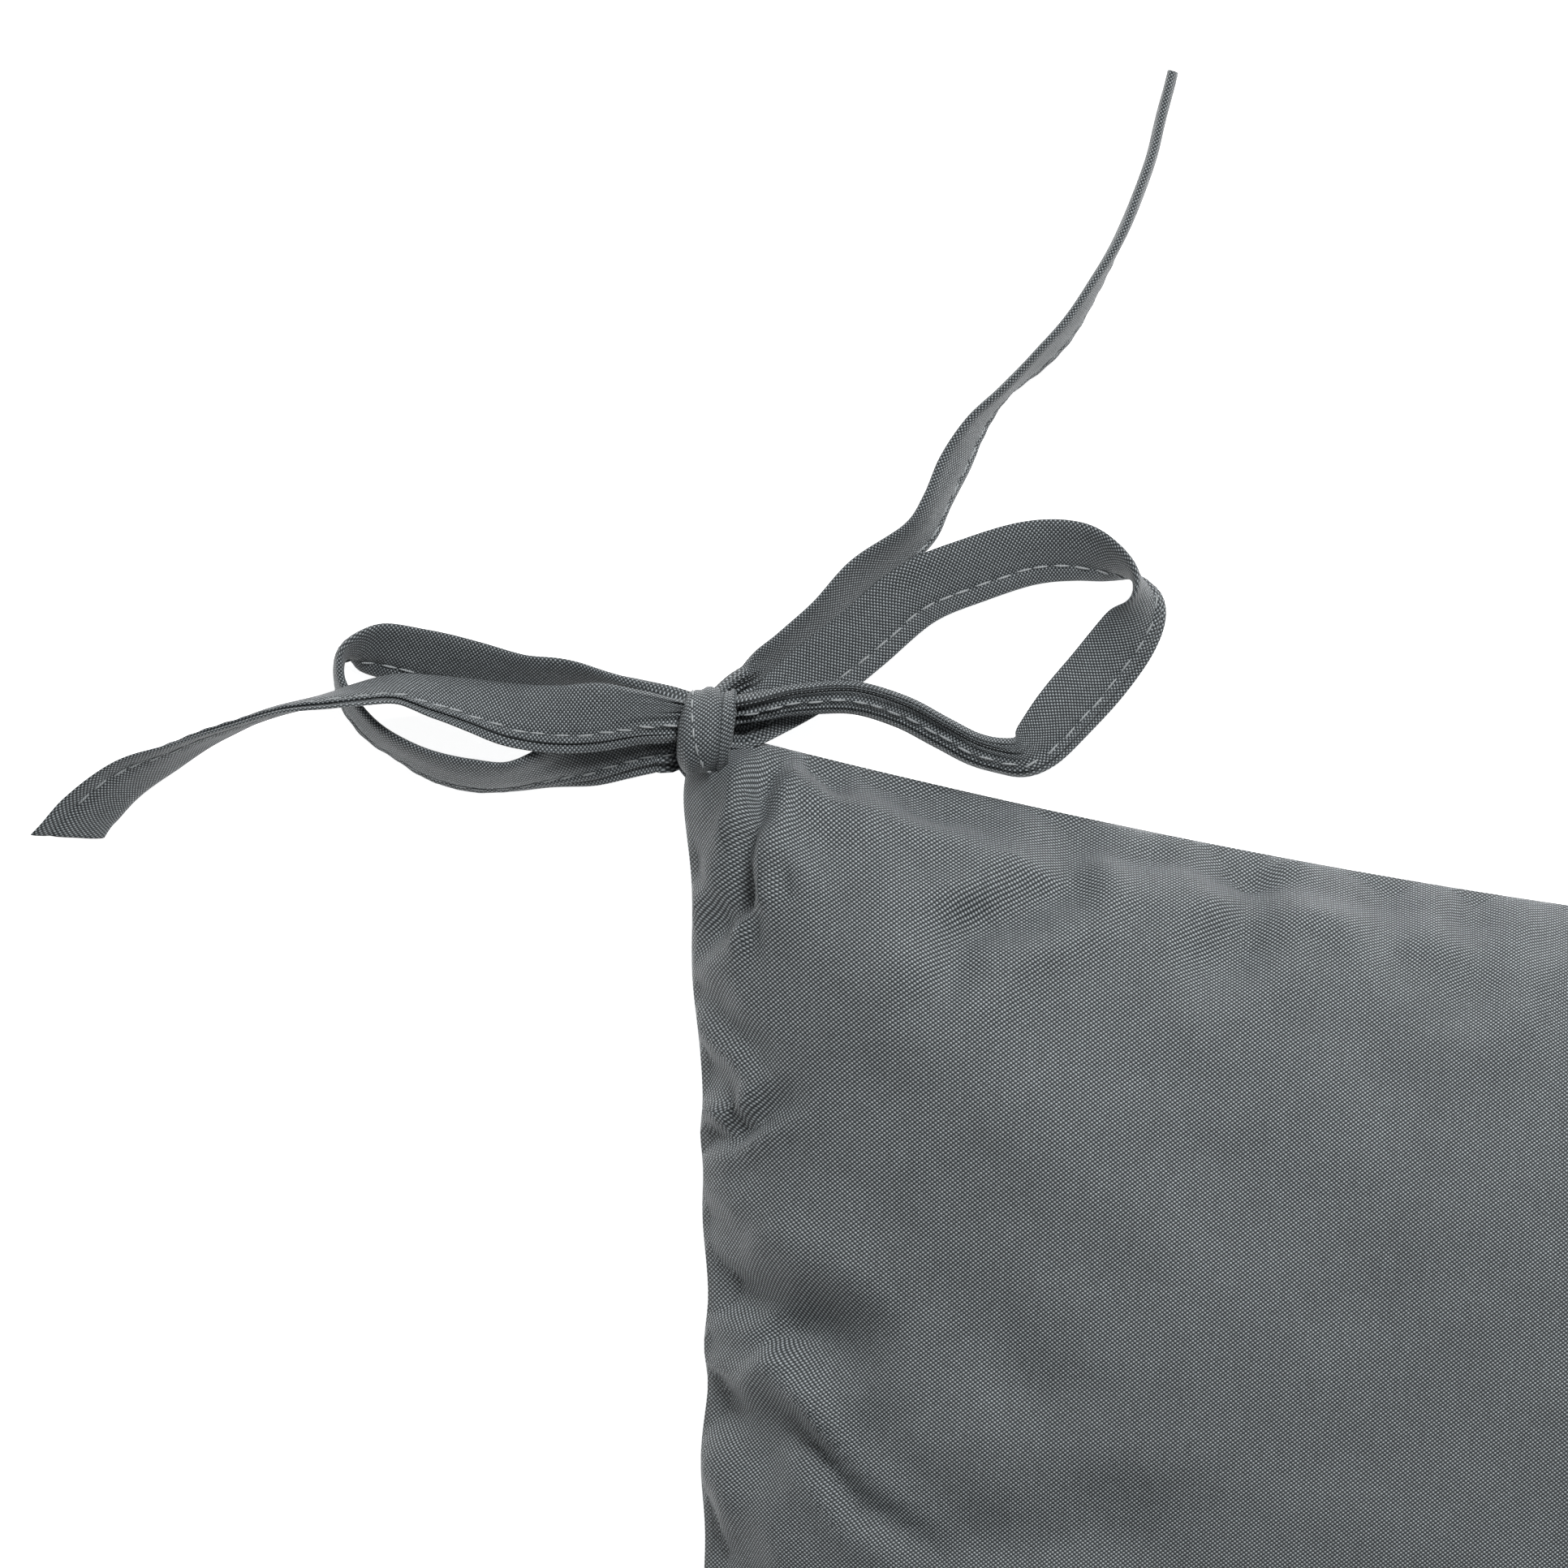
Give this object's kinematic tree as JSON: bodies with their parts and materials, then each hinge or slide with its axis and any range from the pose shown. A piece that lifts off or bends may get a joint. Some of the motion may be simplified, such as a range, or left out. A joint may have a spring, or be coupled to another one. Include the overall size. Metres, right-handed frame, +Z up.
{
  "type": "chair seat pad",
  "caption": "Square padded seat cushion in grey woven fabric, with knife-edge seams and narrow straps tied in bows at the rear corners.",
  "frame": {"origin": "centre of the pad's footprint, on the surface it lies on", "axes": "+Z up out of the sitting face, +Y towards the rear edge with the ties, +X to the right of someone facing the rear edge"},
  "size_m": [0.6216, 0.5199, 0.05],
  "materials": {
    "cover_fabric": "plain-woven grey polyester, slight sheen",
    "tie_strap": "folded strap of the same polyester, topstitched in a lighter grey",
    "foam": "open-cell polyurethane foam",
    "wadding": "white polyester wadding"
  },
  "bodies": {
    "pad": {"top_panel": "cover_fabric", "bottom_panel": "cover_fabric", "foam_core": "foam", "top_wadding": "wadding", "bottom_wadding": "wadding", "rear_left_tie_root": "tie_strap", "rear_right_tie_root": "tie_strap"},
    "rear_left_bow": {"rear_left_knot": "tie_strap", "rear_left_left_loop": "tie_strap", "rear_left_right_loop": "tie_strap", "rear_left_left_tail": "tie_strap", "rear_left_right_tail": "tie_strap"},
    "rear_right_bow": {"rear_right_knot": "tie_strap", "rear_right_left_loop": "tie_strap", "rear_right_right_loop": "tie_strap", "rear_right_left_tail": "tie_strap", "rear_right_right_tail": "tie_strap"}
  },
  "joints": [
    {"name": "rear_left_tie_swing", "type": "hinge", "parent": "pad", "child": "rear_left_bow", "pos_m": [-0.1955, 0.2015, 0.0075], "axis": [1, 0, 0], "range_deg": [-85, 0]},
    {"name": "rear_right_tie_swing", "type": "hinge", "parent": "pad", "child": "rear_right_bow", "pos_m": [0.1955, 0.2015, 0.0075], "axis": [1, 0, 0], "range_deg": [-85, 0]}
  ]
}
